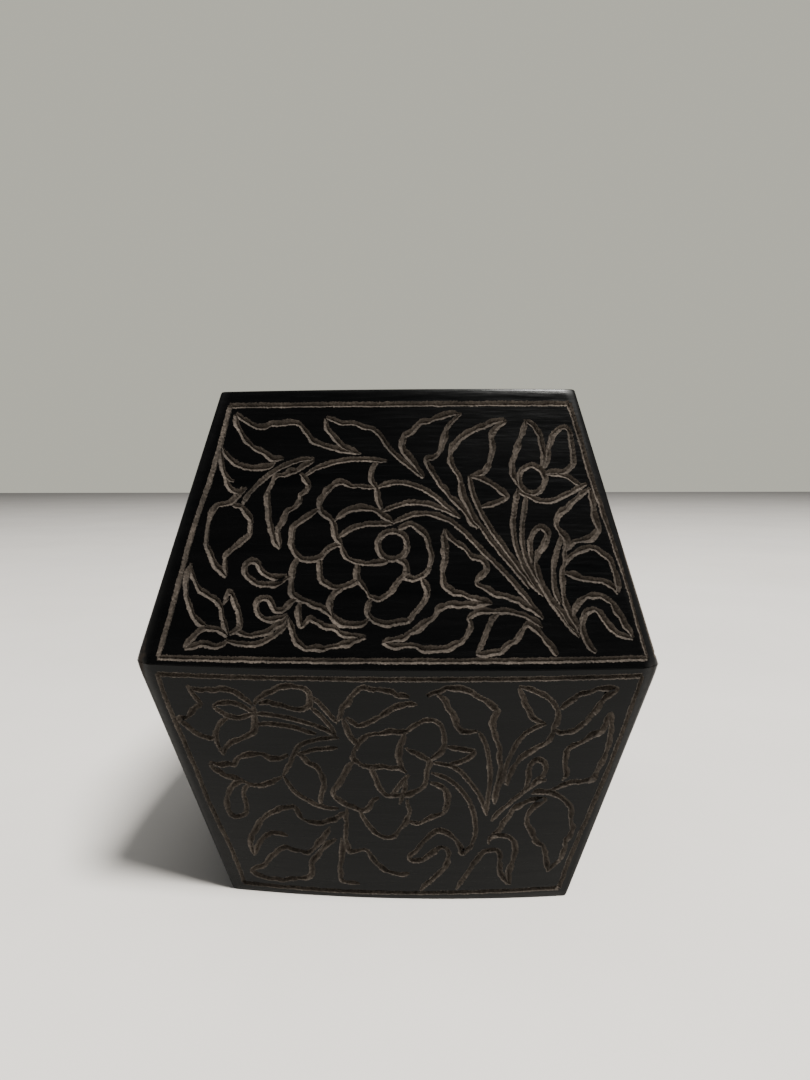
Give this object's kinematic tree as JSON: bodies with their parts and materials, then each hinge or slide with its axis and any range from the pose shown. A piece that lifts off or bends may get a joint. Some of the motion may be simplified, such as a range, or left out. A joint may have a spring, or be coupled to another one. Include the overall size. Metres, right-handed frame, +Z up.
{
  "type": "ink stick and stone box",
  "caption": "Square carved and lacquered box, widest at a ridge halfway up, with a lift-off lid over a tray for an ink stick and a seat for an ink stone.",
  "frame": {"origin": "middle of the underside, on the surface that the box stands on", "axes": "+Z up towards the lid, -Y out of the front face, +X to the right seen from the front"},
  "size_m": [0.1354, 0.1354, 0.1345],
  "materials": {
    "lacquered_wood": "glossy black lacquer over carved wood",
    "bare_wood": "planed brown hardwood, oiled",
    "felt": "pressed wool felt",
    "pressed_ink": "pressed soot ink, satin",
    "slate": "honed slate"
  },
  "bodies": {
    "box_body": {"body_front_panel": "lacquered_wood", "body_right_panel": "lacquered_wood", "body_back_panel": "lacquered_wood", "body_left_panel": "lacquered_wood", "bottom_board": "lacquered_wood", "body_corner_splines": "bare_wood", "lip_front_strip": "bare_wood", "lip_right_strip": "bare_wood", "lip_back_strip": "bare_wood", "lip_left_strip": "bare_wood", "tray_ledge_right": "bare_wood", "tray_ledge_left": "bare_wood", "stone_felt": "felt", "stone_front_bar": "bare_wood", "stone_back_bar": "bare_wood", "stone_right_bar": "bare_wood", "stone_left_bar": "bare_wood"},
    "lid": {"lid_front_panel": "lacquered_wood", "lid_right_panel": "lacquered_wood", "lid_back_panel": "lacquered_wood", "lid_left_panel": "lacquered_wood", "lid_top_board": "lacquered_wood", "lid_corner_splines": "bare_wood"},
    "tray": {"tray_floor": "bare_wood", "tray_front_rail": "bare_wood", "tray_back_rail": "bare_wood", "tray_right_rail": "bare_wood", "tray_left_rail": "bare_wood", "tray_divider": "bare_wood", "stick_felt": "felt"},
    "stick": {"ink_stick": "pressed_ink"},
    "stone": {"ink_stone": "slate"}
  },
  "joints": [
    {"name": "lid_lift", "type": "slide", "parent": "box_body", "child": "lid", "axis": [0, 0, 1], "range_m": [0, 0.08]},
    {"name": "tray_lift", "type": "slide", "parent": "box_body", "child": "tray", "axis": [0, 0, 1], "range_m": [0, 0.028]},
    {"name": "stick_lift", "type": "slide", "parent": "tray", "child": "stick", "axis": [0, 0, 1], "range_m": [0, 0.014]},
    {"name": "stone_lift", "type": "slide", "parent": "box_body", "child": "stone", "axis": [0, 0, 1], "range_m": [0, 0.016]}
  ]
}
